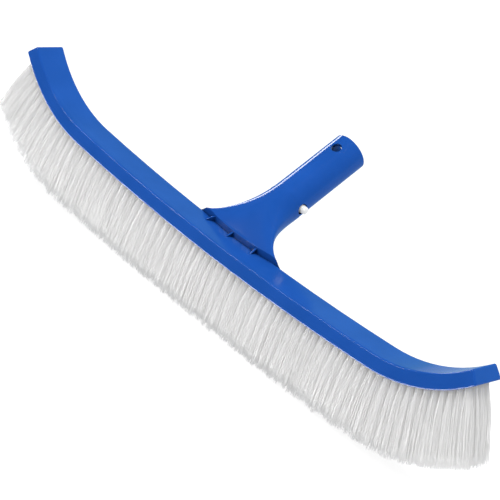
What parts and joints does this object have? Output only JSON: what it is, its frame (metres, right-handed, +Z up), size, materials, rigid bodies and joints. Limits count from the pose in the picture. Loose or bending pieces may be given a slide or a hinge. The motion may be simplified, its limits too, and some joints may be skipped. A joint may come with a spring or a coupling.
{
  "type": "pool wall brush",
  "caption": "Curved pool wall brush head: upturned moulded back with rows of nylon tufts and a leaning pole socket with a sprung two-button clip.",
  "frame": {"origin": "the middle of the brush on the plane of the bristle tips, under the middle of the back", "axes": "+X along the length of the brush, +Y the way the pole socket leans, +Z up from the bristle tips to the back"},
  "size_m": [0.5168, 0.1281, 0.1399],
  "materials": {
    "blue_moulding": "glossy moulded polypropylene",
    "clip_plastic": "smooth white acetal",
    "anchor_wire": "drawn flat wire",
    "nylon_bristle": "crimped translucent nylon filament"
  },
  "bodies": {
    "brush": {"brush_back": "blue_moulding", "pole_socket": "blue_moulding", "clip_bend": "clip_plastic", "anchors_front": "anchor_wire", "anchors_front_inner": "anchor_wire", "anchors_back_inner": "anchor_wire", "anchors_back": "anchor_wire", "tufts_front_1": "nylon_bristle", "tufts_front_2": "nylon_bristle", "tufts_front_3": "nylon_bristle", "tufts_front_4": "nylon_bristle", "tufts_front_5": "nylon_bristle", "tufts_front_6": "nylon_bristle", "tufts_front_inner_1": "nylon_bristle", "tufts_front_inner_2": "nylon_bristle", "tufts_front_inner_3": "nylon_bristle", "tufts_front_inner_4": "nylon_bristle", "tufts_front_inner_5": "nylon_bristle", "tufts_front_inner_6": "nylon_bristle", "tufts_back_inner_1": "nylon_bristle", "tufts_back_inner_2": "nylon_bristle", "tufts_back_inner_3": "nylon_bristle", "tufts_back_inner_4": "nylon_bristle", "tufts_back_inner_5": "nylon_bristle", "tufts_back_inner_6": "nylon_bristle", "tufts_back_1": "nylon_bristle", "tufts_back_2": "nylon_bristle", "tufts_back_3": "nylon_bristle", "tufts_back_4": "nylon_bristle", "tufts_back_5": "nylon_bristle", "tufts_back_6": "nylon_bristle"},
    "left_leg": {"clip_leg_left": "clip_plastic"},
    "right_leg": {"clip_leg_right": "clip_plastic"}
  },
  "joints": [
    {"name": "left_button_press", "type": "hinge", "parent": "brush", "child": "left_leg", "pos_m": [-0.0051, 0.08316, 0.11242], "axis": [0, -0.5934, 0.8049], "range_deg": [0, 6.5], "stiffness_Nm_per_rad": 5, "springref_deg": -1.72},
    {"name": "right_button_press", "type": "hinge", "parent": "brush", "child": "right_leg", "pos_m": [0.0051, 0.08316, 0.11242], "axis": [0, 0.5934, -0.8049], "range_deg": [0, 6.5], "stiffness_Nm_per_rad": 5, "springref_deg": -1.72}
  ]
}
